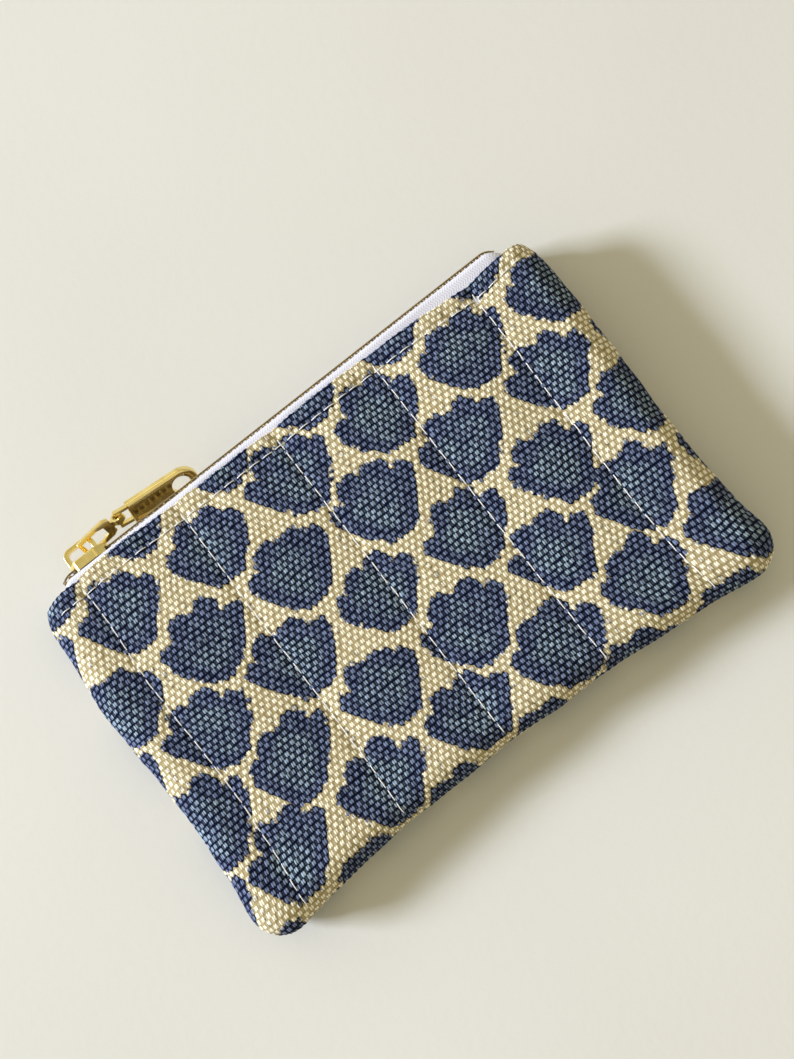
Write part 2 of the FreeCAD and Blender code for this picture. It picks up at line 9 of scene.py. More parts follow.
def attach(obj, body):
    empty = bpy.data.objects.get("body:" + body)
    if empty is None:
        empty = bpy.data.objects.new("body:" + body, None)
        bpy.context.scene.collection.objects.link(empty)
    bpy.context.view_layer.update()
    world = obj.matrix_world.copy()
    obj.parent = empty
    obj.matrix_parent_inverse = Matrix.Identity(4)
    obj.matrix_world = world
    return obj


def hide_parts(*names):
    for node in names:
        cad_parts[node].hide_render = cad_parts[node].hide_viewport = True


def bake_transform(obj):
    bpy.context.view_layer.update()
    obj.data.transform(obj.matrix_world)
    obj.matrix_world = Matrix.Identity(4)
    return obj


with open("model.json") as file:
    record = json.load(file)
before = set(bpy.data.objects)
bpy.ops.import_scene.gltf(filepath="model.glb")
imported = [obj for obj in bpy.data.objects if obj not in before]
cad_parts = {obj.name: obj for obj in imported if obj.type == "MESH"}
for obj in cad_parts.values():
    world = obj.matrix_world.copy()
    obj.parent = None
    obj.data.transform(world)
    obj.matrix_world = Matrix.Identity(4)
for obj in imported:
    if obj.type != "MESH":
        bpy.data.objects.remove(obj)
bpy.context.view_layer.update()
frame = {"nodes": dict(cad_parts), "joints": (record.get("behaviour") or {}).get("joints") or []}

# Everything below is worked out in millimetres, in the row frame, and scaled to metres as a mesh is made.
MM = 0.001
rng = np.random.default_rng(11)

# The pouch, as the CAD has it.
SEAM_Z = 6.25
EDGE_RADIUS = 6.0
CORE_X = 59.0
CORE_Y = -36.0
LOW_CORNER = (56.0, -33.0, 3.0)
HIGH_CORNER = (53.0, 33.6, 6.0)
MOUTH_ROUND_Y = 39.6
MOUTH_Y = 41.2
CANVAS = 0.8
FOLD_RADIUS = 0.4
EDGE_LIFT = 0.05
QUILT_X = (-53.7, -28.3, -2.9, 22.5, 47.9)
TOPSTITCH_Y = 37.2
STITCH, STITCH_PITCH = 2.8, 3.3
QUILT_FROM, QUILT_TO = -40.1, 41.2
TOPSTITCH_FROM, TOPSTITCH_TO = -60.8, 61.0
THREAD_RADIUS = 0.14
WEAVE_X, WEAVE_Y = 1.5, 2.5
BACK_PRINT_SHIFT = (3.4, 6.1)
COIL_PITCH = 1.5
SLIDER_X = -50.5
HALF_WIDTH = 65.0
BOTTOM_Y = -42.0
CHAIN_Y = 43.91
DIP_FROM, DRAWN_FROM, TAPE_END = 55.4, 55.5, 61.8
COIL_START, COIL_LOOPS = -57.6, 77

# The back is pressed flat on the table, so its loft stands this much lower.
BACK_LOSS = 0.30


# ---------------------------------------------------------------- meshes

def make_object(name, points, faces):
    """A smooth-shaded mesh object from points in millimetres."""
    mesh = bpy.data.meshes.new(name)
    mesh.from_pydata((np.asarray(points, float) * MM).tolist(), [], faces)
    mesh.polygons.foreach_set("use_smooth", [True] * len(mesh.polygons))
    mesh.update()
    obj = bpy.data.objects.new(name, mesh)
    bpy.context.scene.collection.objects.link(obj)
    return obj


def lay_flat(obj, flat):
    """Stores each vertex's place on the flat cloth, in millimetres, as the UV map 'cloth'."""
    layer = obj.data.uv_layers.new(name="cloth")
    corner = np.empty(len(obj.data.loops), np.int32)
    obj.data.loops.foreach_get("vertex_index", corner)
    layer.data.foreach_set("uv", np.asarray(flat, np.float32)[corner].ravel())


def grid_faces(columns, rows, first=0, flip=False):
    """Quads of a grid whose vertices are numbered row by row."""
    r, c = np.meshgrid(np.arange(rows - 1), np.arange(columns - 1), indexing="ij")
    a = (first + r * columns + c).ravel()
    quads = np.stack([a, a + 1, a + columns + 1, a + columns], axis=1)
    if flip:
        quads = quads[:, ::-1]
    return quads.tolist()


def layer_faces(columns, rows):
    """Faces of two grids laid one over the other, the second turned over, with their rims joined."""
    count = columns * rows
    faces = grid_faces(columns, rows) + grid_faces(columns, rows, count, flip=True)
    rim = list(range(columns))
    rim += [r * columns + columns - 1 for r in range(1, rows)]
    rim += [(rows - 1) * columns + c for c in range(columns - 2, -1, -1)]
    rim += [r * columns for r in range(rows - 2, 0, -1)]
    for n, i in enumerate(rim):
        j = rim[(n + 1) % len(rim)]
        faces.append([j, i, i + count, j + count])
    return faces


def tube(path, radius, sides):
    """Points and faces of a round tube along a path, with closed ends."""
    path = np.asarray(path, float)
    along = np.gradient(path, axis=0)
    along /= np.maximum(np.linalg.norm(along, axis=1, keepdims=True), 1e-9)
    up = np.zeros_like(path)
    guess = np.array([0.0, 0.0, 1.0]) if abs(along[0][2]) < 0.9 else np.array([0.0, 1.0, 0.0])
    for n, t in enumerate(along):
        guess = guess - t * (guess @ t)
        guess /= max(np.linalg.norm(guess), 1e-9)
        up[n] = guess
    side = np.cross(along, up)
    turn = np.linspace(0, 2 * math.pi, sides, endpoint=False)
    ring = np.cos(turn)[None, :, None] * up[:, None] + np.sin(turn)[None, :, None] * side[:, None]
    points = (path[:, None] + ring * radius).reshape(-1, 3)
    faces = []
    for n in range(len(path) - 1):
        for k in range(sides):
            a, b = n * sides + k, n * sides + (k + 1) % sides
            faces.append((a, b, b + sides, a + sides))
    faces.append(tuple(reversed(range(sides))))
    faces.append(tuple(range((len(path) - 1) * sides, len(path) * sides)))
    return points, faces


class Pile:
    """Several small meshes gathered into one."""

    def __init__(self):
        self.points, self.faces, self.count = [], [], 0

    def add(self, points, faces):
        self.points.append(points)
        self.faces.extend(tuple(i + self.count for i in f) for f in faces)
        self.count += len(points)

    def build(self, name):
        return make_object(name, np.concatenate(self.points), self.faces)


def plied(pile, path, radius, lay, plies=2):
    """Adds a twisted thread along a path: plies that wind round each other once every lay."""
    path = np.asarray(path, float)
    steps = np.linalg.norm(np.diff(path, axis=0), axis=1)
    run = np.concatenate([[0], np.cumsum(steps)])
    along = np.gradient(path, axis=0)
    along /= np.maximum(np.linalg.norm(along, axis=1, keepdims=True), 1e-9)
    ref = np.where(np.abs(along[:, 2:3]) < 0.9, [[0.0, 0.0, 1.0]], [[0.0, 1.0, 0.0]])
    one = np.cross(along, ref)
    one /= np.maximum(np.linalg.norm(one, axis=1, keepdims=True), 1e-9)
    two = np.cross(one, along)
    for n in range(plies):
        angle = 2 * math.pi * (run / lay + n / plies)
        offset = np.cos(angle)[:, None] * one + np.sin(angle)[:, None] * two
        pile.add(*tube(path + offset * radius * 0.45, radius * 0.62, 5))


# ---------------------------------------------------------------- the shape of the cushion

def flat_pattern(across, up, turn):
    """Flat places of a grid of cloth whose edge turns through the length turn, with its corners rounded."""
    a, b = np.meshgrid(across, up)
    side = np.sign(a)
    p, q = np.abs(a) - LOW_CORNER[0], LOW_CORNER[1] - b
    corner = (p > 0) & (q > 0)
    shrink = np.where(corner, np.maximum(p, q) / np.maximum(np.hypot(p, q), 1e-9), 1.0)
    a = np.where(corner, side * (LOW_CORNER[0] + p * shrink), a)
    b = np.where(corner, LOW_CORNER[1] - q * shrink, b)
    reach = HIGH_CORNER[2] + turn
    high = np.clip(b - HIGH_CORNER[1], 0, None)
    half = HIGH_CORNER[0] + np.sqrt(np.maximum(reach**2 - high**2, 1.0))
    out = np.maximum(np.abs(a) - HIGH_CORNER[0], 0) / reach
    near = np.minimum(np.abs(a), HIGH_CORNER[0])
    a = np.where(b > HIGH_CORNER[1], side * (near + out * (half - HIGH_CORNER[0])), a)
    return a, b


def on_cushion(a, b, inset, last=math.pi / 2):
    """Where a flat place (a, b) lies on the front of the cushion, drawn in by inset.

    Returns the place, the outward normal and how far the cloth has turned round the edge.
    """
    radius = EDGE_RADIUS - inset
    side, x = np.sign(a), np.abs(a)
    low = (x > LOW_CORNER[0]) & (b < LOW_CORNER[1])
    high = (x > HIGH_CORNER[0]) & (b > HIGH_CORNER[1])
    wide = ~low & ~high & (x > CORE_X)
    under = ~low & ~high & ~wide & (b < CORE_Y)
    zero = np.zeros_like(a)
    vx = np.where(low, x - LOW_CORNER[0], np.where(high, x - HIGH_CORNER[0], np.where(wide, 1.0, zero)))
    vy = np.where(low, b - LOW_CORNER[1], np.where(high, b - HIGH_CORNER[1], np.where(under, -1.0, zero)))
    far = np.hypot(vx, vy)
    ring = np.where(low, LOW_CORNER[2], HIGH_CORNER[2])
    over = np.where(
        low | high, far - ring, np.where(wide, x - CORE_X, np.where(under, CORE_Y - b, -1.0))
    )
    over = np.maximum(over, 0)
    dx, dy = vx / np.maximum(far, 1e-9), vy / np.maximum(far, 1e-9)
    angle = np.clip(over / radius, 0, last)
    foot_x, foot_y = x - dx * over, b - dy * over
    px, py = foot_x + dx * radius * np.sin(angle), foot_y + dy * radius * np.sin(angle)
    pz = SEAM_Z + EDGE_LIFT + (radius + 0.2) * np.cos(angle)
    roll = np.clip((b - MOUTH_ROUND_Y) / EDGE_RADIUS, 0, 1)
    py = py - np.maximum(b - MOUTH_ROUND_Y, 0) + EDGE_RADIUS * np.sin(roll)
    pz = pz - EDGE_RADIUS * (1 - np.cos(roll)) * np.cos(angle)
    normal = np.stack(
        [side * dx * np.sin(angle), dy * np.sin(angle) + np.sin(roll) * np.cos(angle), np.cos(angle)],
        axis=-1,
    )
    normal /= np.linalg.norm(normal, axis=-1, keepdims=True)
    return np.stack([side * px, py, pz], axis=-1), normal, angle


def smooth_step(value, start, end):
    """0 up to start, 1 from end, and an even S between."""
    t = np.clip((value - start) / (end - start), 0, 1)
    return t * t * (3 - 2 * t)


# How far each edge of the limp pouch has strayed from a straight line, as (place along the edge, distance).
LEFT_STRAY = [
    (-42, -3.6), (-38, -2.8), (-33, -1.9), (-26, -1.0), (-14, -0.5), (-4, -0.9), (6, -1.6), (16, -2.1),
    (24, -1.4), (31, -0.9), (37, -1.3), (43, -2.1),
]
RIGHT_STRAY = [
    (-42, 2.6), (-39, 1.0), (-34, -0.8), (-28, -1.3), (-18, -1.5), (-8, -1.2), (4, -0.7), (14, -0.3),
    (24, 0.3), (34, 0.5), (43, 1.3),
]
BOTTOM_STRAY = [
    (-65, -3.6), (-59, -2.9), (-53, -1.8), (-46, -0.7), (-38, 0.2), (-28, 0.8), (-14, 1.1), (0, 0.9),
    (14, 0.4), (25, -0.1), (34, -0.9), (42, -1.8), (50, -2.7), (57, -3.5), (65, -3.0),
]
TOP_STRAY = [
    (-65, 0.8), (-57, 0.7), (-50, 1.1), (-43, 1.1), (-32, 0.7), (-16, 0.4), (0, 0.3), (18, 0.2), (30, -0.1),
    (38, -0.7), (45, -1.3), (51, -1.3), (57, -0.2), (65, 0.6),
]


def stray(table, at, width):
    """A smooth curve through a table of places and distances."""
    places, distances = np.array(table, float).T
    weight = np.exp(-(((np.asarray(at, float)[..., None] - places) / width) ** 2)) + 1e-12
    return (weight * distances).sum(-1) / weight.sum(-1)


def slump(points):
    """Moves points in plan with the pouch's strayed edges, fading out towards its middle."""
    points = np.array(points, float)
    x, y = points[..., 0], points[..., 1]
    left = stray(LEFT_STRAY, y, 5.0) * np.clip((-x - 5) / 60, 0, 1.1) ** 2
    right = stray(RIGHT_STRAY, y, 5.0) * np.clip((x + 5) / 70, 0, 1.1) ** 2
    low = stray(BOTTOM_STRAY, x, 6.0) * np.clip((5 - y) / 47, 0, 1.1) ** 2
    high = stray(TOP_STRAY, x, 6.0) * np.clip((y - 8) / 33, 0, 1.1) ** 2
    points[..., 0] = x + left + right
    points[..., 1] = y + low + high
    return points


WAVES = [
    (
        rng.uniform(0, 2 * math.pi),
        rng.uniform(14, 46),
        rng.uniform(0, 2 * math.pi),
        rng.uniform(0.5, 1.0),
    )
    for _ in range(14)
]


def ripple(a, b, shift):
    """Soft uneven waves of handled cloth, between about -1 and 1."""
    total = np.zeros_like(a)
    for heading, length, phase, share in WAVES:
        total += share * np.sin(
            2 * math.pi * (a * math.cos(heading) + b * math.sin(heading)) / length + phase + shift
        )
    return total / 5


def loft(a, b, shift):
    """How far the quilted cloth stands above its CAD face: sunk along the stitching, puffed between."""
    nearest = np.min([np.abs(a - x) for x in QUILT_X], axis=0)
    stitched = smooth_step(b, -41, -36)
    pucker = 0.10 * np.cos(2 * math.pi * b / STITCH_PITCH) * np.exp(-((nearest / 1.3) ** 2))
    height = 0.55 * (1 - np.exp(-((nearest / 6.5) ** 2)))
    height -= stitched * (0.40 * np.exp(-((nearest / 1.1) ** 2)) + pucker)
    height -= 0.34 * np.exp(-(((b - TOPSTITCH_Y) / 0.9) ** 2)) * (np.abs(a) < 62)
    height -= 0.35 * smooth_step(b, 30, 36.5)
    height += 0.09 * np.cos(2 * math.pi * a / STITCH_PITCH) * np.exp(-(((b - TOPSTITCH_Y) / 1.6) ** 2))
    gather = np.sin(2 * math.pi * a / 7.3 + 2.1 * np.sin(a / 17.0 + shift))
    height += 0.10 * gather * smooth_step(b, 27, 36)
    return height + 0.26 * ripple(a, b, shift)


def wander(a, b):
    """Where the yarns that cross at a flat place would be in perfectly straight cloth."""
    drift_a = 0.13 * np.sin(b / 3.7 + 1.3 * np.sin(a / 9.0)) + 0.07 * np.sin(b / 1.5 + a / 3.7)
    drift_b = 0.13 * np.sin(a / 4.3 + 1.1 * np.sin(b / 8.0)) + 0.06 * np.sin(a / 1.4 + b / 4.1)
    return a + drift_a, b + drift_b


def weave(a, b):
    """Relief of the canvas: pairs of warp yarns over every other weft, some standing higher than others."""
    product = np.cos(2 * math.pi * a / WEAVE_X) * np.cos(2 * math.pi * b / WEAVE_Y)
    row = np.round(b / (WEAVE_Y / 2))
    column = np.round(a / WEAVE_X - 0.5 * (row % 2))
    own = np.sin(column * 12.9898 + row * 78.233) * 43758.5453
    own = own - np.floor(own)
    return np.tanh(1.7 * product) * (0.09 + 0.08 * own)


def panel_faces(columns, rows, coarse, inner_columns, inner_rows):
    """Faces of a panel: the fine face, the coarse inner face and the strips that join their edges."""
    base = columns * rows
    faces = grid_faces(columns, rows)
    faces += grid_faces(inner_columns, inner_rows, base, flip=True)
    last, top = base - columns, base + (inner_rows - 1) * inner_columns
    for c in range(inner_columns - 1):
        fine = [c * coarse + k for k in range(coarse + 1)]
        faces.append([base + c, base + c + 1] + fine[::-1])
        faces.append([last + k for k in fine] + [top + c + 1, top + c])
    for r in range(inner_rows):
        here, reach = base + r * inner_columns, (r + 1) * coarse + 1
        ends = [here + inner_columns, here]
        if r == inner_rows - 1:
            ends, reach = [here], rows
        left = [i * columns for i in range(r * coarse, reach)]
        faces.append(left + ends)
        faces.append([i + columns - 1 for i in left[::-1]] + [i + inner_columns - 1 for i in ends[::-1]])
    return faces


def panel(name, columns, rows, coarse, face_up, shift):
    """A padded canvas panel: its edge turned in at the seam, and its top folded over the tape."""
    turn = EDGE_RADIUS * math.pi / 2
    fold_start = MOUTH_Y - FOLD_RADIUS
    step_x, step_y = WEAVE_X / 4, WEAVE_Y / 6
    across = step_x * np.arange(-(columns // 2), columns // 2 + 1)
    across[[0, -1]] = -(CORE_X + turn), CORE_X + turn
    up = step_y * np.arange(-108, 98)
    up = np.concatenate([[CORE_Y - turn], up, [(up[-1] + fold_start) / 2, fold_start]])
    fold = np.array([0.25, 0.5, 0.75, 1.0]) * math.pi
    a, b = flat_pattern(across, np.concatenate([up, fold_start + fold * 1e-6]), turn)
    place, normal, angle = on_cushion(a, b, 0.0)
    tuck = smooth_step(angle, math.radians(62), math.pi / 2)
    height = loft(a, b, shift) * (1 - 0.75 * tuck)
    if not face_up:
        height = np.minimum(height - BACK_LOSS, 0.0)
    middle = place + normal * (height - 0.75 * tuck**2)[..., None]
    b = b.copy()
    for n, bend in enumerate(fold):
        row = rows + n
        up_dir = np.array([0.0, 1.0, 0.0]) - normal[row] * normal[row][:, 1:2]
        swing = math.cos(bend) * normal[row] + math.sin(bend) * up_dir
        middle[row] = middle[row] - normal[row] * FOLD_RADIUS + swing * FOLD_RADIUS
        b[row] = fold_start + bend * FOLD_RADIUS
        normal[row] = swing
    a, b = wander(a, b)
    relief = weave(a, b) * (1 - 0.6 * tuck)
    if not face_up:
        relief = np.where(angle < 0.15, np.minimum(relief, 0.0), relief)
    middle = slump(middle)
    outer = (middle + normal * relief[..., None]).reshape(-1, 3)

    # the inner face takes every few rows and columns, and stops short of the fold
    picked = np.ix_(np.arange(0, rows, coarse)[:-1], np.arange(0, columns, coarse))
    inner = (middle - normal * CANVAS)[picked]
    points = np.concatenate([outer, inner.reshape(-1, 3)])
    places = np.stack([a, b], axis=-1)
    flat = np.concatenate([places.reshape(-1, 2), places[picked].reshape(-1, 2)])
    faces = panel_faces(columns, rows + len(fold), coarse, inner.shape[1], inner.shape[0])
    if not face_up:
        points = mirror(points)
        faces = [f[::-1] for f in faces]
    obj = make_object(name, points, faces)
    lay_flat(obj, flat if face_up else flat + BACK_PRINT_SHIFT)
    return obj


def mirror(points):
    """The same points on the back half."""
    points = np.array(points, float)
    points[..., 2] = 2 * SEAM_Z - points[..., 2]
    return points


def slab(name, columns, rows, outer_inset, inner_inset, top, last, rough, face_up):
    """A closed layer between two insets of the cushion, such as the batting or the lining."""
    layers = []
    for inset in (outer_inset, inner_inset):
        turn = (EDGE_RADIUS - inset) * last
        across = np.linspace(-(CORE_X + turn), CORE_X + turn, columns)
        up = np.linspace(CORE_Y - turn, top, rows)
        a, b = flat_pattern(across, up, turn)
        place, normal, angle = on_cushion(a, b, inset, last)
        layers.append((slump(place + normal * rough(a, b, angle)[..., None]), a, b))
    points = np.concatenate([layers[0][0].reshape(-1, 3), layers[1][0].reshape(-1, 3)])
    faces = layer_faces(columns, rows)
    if not face_up:
        points = mirror(points)
        faces = [f[::-1] for f in faces]
    obj = make_object(name, points, faces)
    lay_flat(obj, np.concatenate([np.stack([a.ravel(), b.ravel()], 1) for _, a, b in layers]))
    return obj, layers


# ---------------------------------------------------------------- the zipper

def spread_at(x):
    """How far each half of the chain stands off the seam plane where the slider parts them."""
    return 1.1 * np.clip((2.5 - (np.asarray(x, float) - SLIDER_X)) / 4.5, 0, 1)


def dip_at(x):
    """How far the chain and the tape turn down into the corners of the mouth."""
    return 0.16 * np.maximum(np.abs(x) - DIP_FROM, 0) ** 2


def half_sign(front):
    """Which way the front or the back half lies from the seam plane."""
    return 1 if front else -1


def coil(name, front):
    """One side's monofilament, wound as flattened loops."""
    per_turn = 26
    start = COIL_START + (0.0 if front else COIL_PITCH / 2)
    t = np.arange(COIL_LOOPS * per_turn + 1) / per_turn
    turn = 2 * math.pi * (t % 1.0)
    y = CHAIN_Y + 0.37 * np.sign(np.cos(turn)) * np.abs(np.cos(turn)) ** 0.55
    z = 1.02 * np.sign(np.sin(turn)) * np.abs(np.sin(turn)) ** 0.8
    x = start + COIL_PITCH * t - 0.18 * np.cos(turn)
    z = SEAM_Z + half_sign(front) * (0.93 + z + spread_at(x))
    pile = Pile()
    pile.add(*tube(np.stack([x, y - dip_at(x), z], 1), 0.22, 8))
    return pile.build(name)


def coil_cord(name, front):
    """The filler cord that runs inside the coil."""
    x = np.linspace(-58.0, 58.4, 500)
    z = SEAM_Z + half_sign(front) * (1.0 + spread_at(x))
    pile = Pile()
    plied(pile, np.stack([x, CHAIN_Y - dip_at(x), z], 1), 0.15, 0.9, plies=3)
    return pile.build(name)


def coil_stitching(name, front):
    """The two rows of lockstitch that hold the coil to the tape, seen over its outer legs."""
    per_stitch = 14
    pile = Pile()
    start = COIL_START - 0.3 + (0.0 if front else COIL_PITCH / 2)
    for row in (1.32, 1.88):
        for lag in (0.0, 0.5):
            t = np.arange(COIL_LOOPS * per_stitch + 1) / per_stitch
            x = start + COIL_PITCH * (t + lag)
            z = SEAM_Z + half_sign(front) * (row + spread_at(x) + 0.20 * np.sin(2 * math.pi * t))
            y = 44.50 + 0.08 * np.cos(2 * math.pi * t + 0.6)
            pile.add(*tube(np.stack([x, y - dip_at(x), z], 1), 0.10, 6))
    return pile.build(name)


def tape(name, front):
    """The woven tape: flat under the canvas, then down to the coil, its ends drawn together."""
    flat_z, knee, bend = 11.1, 42.0, 1.05
    lower = [(y, flat_z) for y in np.linspace(31.5, knee, 22)]
    arc = [
        (knee + bend * math.sin(t), flat_z - bend + bend * math.cos(t))
        for t in np.linspace(0, math.pi / 2, 9)[1:]
    ]
    drop = [(knee + bend, z) for z in np.linspace(flat_z - bend, 7.35, 9)[1:]]
    profile = np.array(lower + arc + drop)
    x = np.linspace(-TAPE_END, TAPE_END, 321)
    drawn = np.sqrt(1 - (np.maximum(np.abs(x) - DRAWN_FROM, 0) / 6.6) ** 2)
    tangent = np.gradient(profile, axis=0)
    tangent /= np.linalg.norm(tangent, axis=1, keepdims=True)
    outward = np.stack([-tangent[:, 1], tangent[:, 0]], 1)
    run = np.concatenate([[0], np.cumsum(np.linalg.norm(np.diff(profile, axis=0), axis=1))])
    layers = []
    for lift in (0.25, -0.25):
        yz = profile + outward * lift
        grid = np.zeros((len(profile), len(x), 3))
        grid[..., 0] = x[None]
        free = smooth_step(run, 9.5, 11.5)[:, None]
        soft = 0.10 * np.sin(x / 4.1 + 0.8 * np.sin(x / 9.0)) + 0.05 * np.sin(x / 1.9)
        grid[..., 1] = yz[:, :1] - dip_at(x)[None] * smooth_step(run, 6, 12)[:, None]
        grid[..., 2] = yz[:, 1:] + free * soft * np.exp(-((run[:, None] - 11.5) / 1.6) ** 2)
        grid[..., 2] = SEAM_Z + (grid[..., 2] - SEAM_Z) * drawn[None]
        layers.append(grid)
    points = np.concatenate([layers[0].reshape(-1, 3), layers[1].reshape(-1, 3)])
    faces = layer_faces(len(x), len(profile))
    if not front:
        points = mirror(points)
        faces = [f[::-1] for f in faces]
    obj = make_object(name, points, faces)
    u, v = np.meshgrid(x, run)
    flat = np.stack([u.ravel(), v.ravel()], 1)
    lay_flat(obj, np.concatenate([flat, flat]))
    return obj


# ---------------------------------------------------------------- the sewing thread

def stitch(pile, start, end, shift, face_up):
    """One stitch on the face of a panel, dipping into the cloth at both ends."""
    s = np.linspace(0, 1, 13)
    a = start[0] + (end[0] - start[0]) * s
    b = start[1] + (end[1] - start[1]) * s
    place, normal, _ = on_cushion(a, b, 0.0)
    height = loft(a, b, shift)
    if not face_up:
        height = np.minimum(height - BACK_LOSS, 0.0)
    over = -0.50 + 0.70 * np.sin(math.pi * np.clip(s, 0.001, 0.999)) ** 0.28
    if not face_up:
        over = over - 0.10
    path = place + normal * (height + over)[:, None]
    sway = 0.05 * rng.uniform(-1, 1)
    path = slump(path)
    path[:, 0] += sway * np.sin(math.pi * s)
    if not face_up:
        path = mirror(path)
    plied(pile, path, THREAD_RADIUS, 1.0)


def quilting(name, shift, face_up):
    """The five rows of stitches up a panel."""
    pile = Pile()
    for x in QUILT_X:
        b = QUILT_FROM
        while b + STITCH < QUILT_TO:
            jitter = rng.uniform(-0.06, 0.06, 2)
            stitch(pile, (x + jitter[0], b), (x + jitter[1], b + STITCH + 0.1), shift, face_up)
            b += STITCH_PITCH
    return pile.build(name)


def topstitch(name, shift, face_up):
    """The row of stitches along the mouth of a panel."""
    pile = Pile()
    a = TOPSTITCH_FROM
    while a + STITCH < TOPSTITCH_TO:
        jitter = rng.uniform(-0.06, 0.06, 2)
        stitch(
            pile, (a, TOPSTITCH_Y + jitter[0]), (a + STITCH + 0.1, TOPSTITCH_Y + jitter[1]), shift, face_up
        )
        a += STITCH_PITCH
    return pile.build(name)


def seam_thread(name):
    """The thread that sews the two panels together, down one side, along the bottom and up the other."""
    inset = 1.4
    corner = LOW_CORNER[2] + EDGE_RADIUS - inset
    path = [(-(HALF_WIDTH - inset), y) for y in np.arange(29.8, LOW_CORNER[1], -0.25)]
    for t in np.linspace(0, math.pi / 2, 30):
        path.append((-LOW_CORNER[0] - corner * math.cos(t), LOW_CORNER[1] - corner * math.sin(t)))
    path += [(x, BOTTOM_Y + inset) for x in np.arange(-55.8, 56, 0.25)]
    for t in np.linspace(0, math.pi / 2, 30):
        path.append((LOW_CORNER[0] + corner * math.sin(t), LOW_CORNER[1] - corner * math.cos(t)))
    path += [(HALF_WIDTH - inset, y) for y in np.arange(-32.8, 29.8, 0.25)]
    path = np.array(path)
    run = np.concatenate([[0], np.cumsum(np.linalg.norm(np.diff(path, axis=0), axis=1))])
    z = 5.70 + 0.10 * np.cos(2 * math.pi * run / STITCH_PITCH)
    pile = Pile()
    plied(pile, slump(np.column_stack([path, z])), 0.16, 1.0)
    return pile.build(name)


# ---------------------------------------------------------------- materials

class Graph:
    """Short names for the nodes of one material."""

    def __init__(self, name):
        self.material = bpy.data.materials.new(name)
        self.material.use_nodes = True
        self.tree = self.material.node_tree
        self.shader = self.tree.nodes["Principled BSDF"]

    def set(self, **values):
        for key, value in values.items():
            self.shader.inputs[key.replace("_", " ")].default_value = value

    def node(self, kind, inputs=(), **settings):
        made = self.tree.nodes.new(kind)
        for key, value in settings.items():
            setattr(made, key, value)
        for key, value in dict(inputs).items():
            self.feed(made.inputs[key], value)
        return made

    def feed(self, socket, value):
        if isinstance(value, bpy.types.NodeSocket):
            self.tree.links.new(value, socket)
        elif value is not None:
            socket.default_value = value

    def math(self, operation, *values, clamp=False):
        made = self.tree.nodes.new("ShaderNodeMath")
        made.operation, made.use_clamp = operation, clamp
        for n, value in enumerate(values):
            self.feed(made.inputs[n], value)
        return made.outputs[0]

    def mix(self, share, one, two):
        made = self.tree.nodes.new("ShaderNodeMix")
        made.data_type = "RGBA"
        self.feed(made.inputs[0], share)
        self.feed(made.inputs[6], one)
        self.feed(made.inputs[7], two)
        return made.outputs[2]

    def span(self, value, low, high, to_low=0.0, to_high=1.0, smooth=False):
        made = self.tree.nodes.new("ShaderNodeMapRange")
        made.interpolation_type = "SMOOTHSTEP" if smooth else "LINEAR"
        for n, item in enumerate((value, low, high, to_low, to_high)):
            self.feed(made.inputs[n], item)
        return made.outputs[0]

    def join(self, x, y, z):
        return self.node("ShaderNodeCombineXYZ", {"X": x, "Y": y, "Z": z}).outputs[0]

    def noise(self, vector, scale, detail, roughness=0.5):
        return self.node(
            "ShaderNodeTexNoise",
            {"Vector": vector, "Scale": scale, "Detail": detail, "Roughness": roughness},
        ).outputs["Fac"]

    def chance(self, *key):
        """Three random numbers from 0 to 1 that go with three key values."""
        made = self.node("ShaderNodeTexWhiteNoise", {"Vector": self.join(*key)}, noise_dimensions="3D")
        return self.node("ShaderNodeSeparateColor", {"Color": made.outputs["Color"]}).outputs

    def stretched(self, vector, *by):
        return self.node("ShaderNodeVectorMath", {0: vector, 1: by}, operation="MULTIPLY").outputs[0]

    def cloth(self):
        """Flat place on the cloth, in millimetres: the two numbers and the vector."""
        uv = self.node("ShaderNodeUVMap", uv_map="cloth").outputs[0]
        split = self.node("ShaderNodeSeparateXYZ", {"Vector": uv})
        return split.outputs[0], split.outputs[1], uv

    def place(self):
        """Place on the object at rest, in millimetres."""
        at = self.node("ShaderNodeTexCoord").outputs["Object"]
        return self.stretched(at, 1000, 1000, 1000)

    def bump(self, height, distance, strength):
        made = self.node("ShaderNodeBump", {"Strength": strength, "Distance": distance, "Height": height})
        self.tree.links.new(made.outputs[0], self.shader.inputs["Normal"])

    def colour(self, value):
        self.feed(self.shader.inputs["Base Color"], value)

    def rough(self, value):
        self.feed(self.shader.inputs["Roughness"], value)


def rgb(red, green, blue):
    """A colour given as it looks on a screen, 0 to 255, in Blender's linear values."""
    out = []
    for value in (red, green, blue):
        value /= 255
        out.append(value / 12.92 if value <= 0.04045 else ((value + 0.055) / 1.055) ** 2.4)
    return (*out, 1.0)


PETAL_X, PETAL_Y = 22.4, 15.27
PETAL_LOW, PETAL_TALL = 8.5, 20.0
PETAL_SCALE = 12.0

# A petal's side, from its foot up, as (height, half width).
PETAL_SIDES = [
    (0.0, 1.4), (0.5, 3.2), (1.5, 4.3), (2.5, 5.0), (4.5, 6.7), (6.5, 8.0), (8.5, 9.3), (10.0, 9.6),
    (11.1, 8.6), (11.9, 6.6), (13.3, 5.2), (15.0, 4.0), (15.7, 0.0),
]


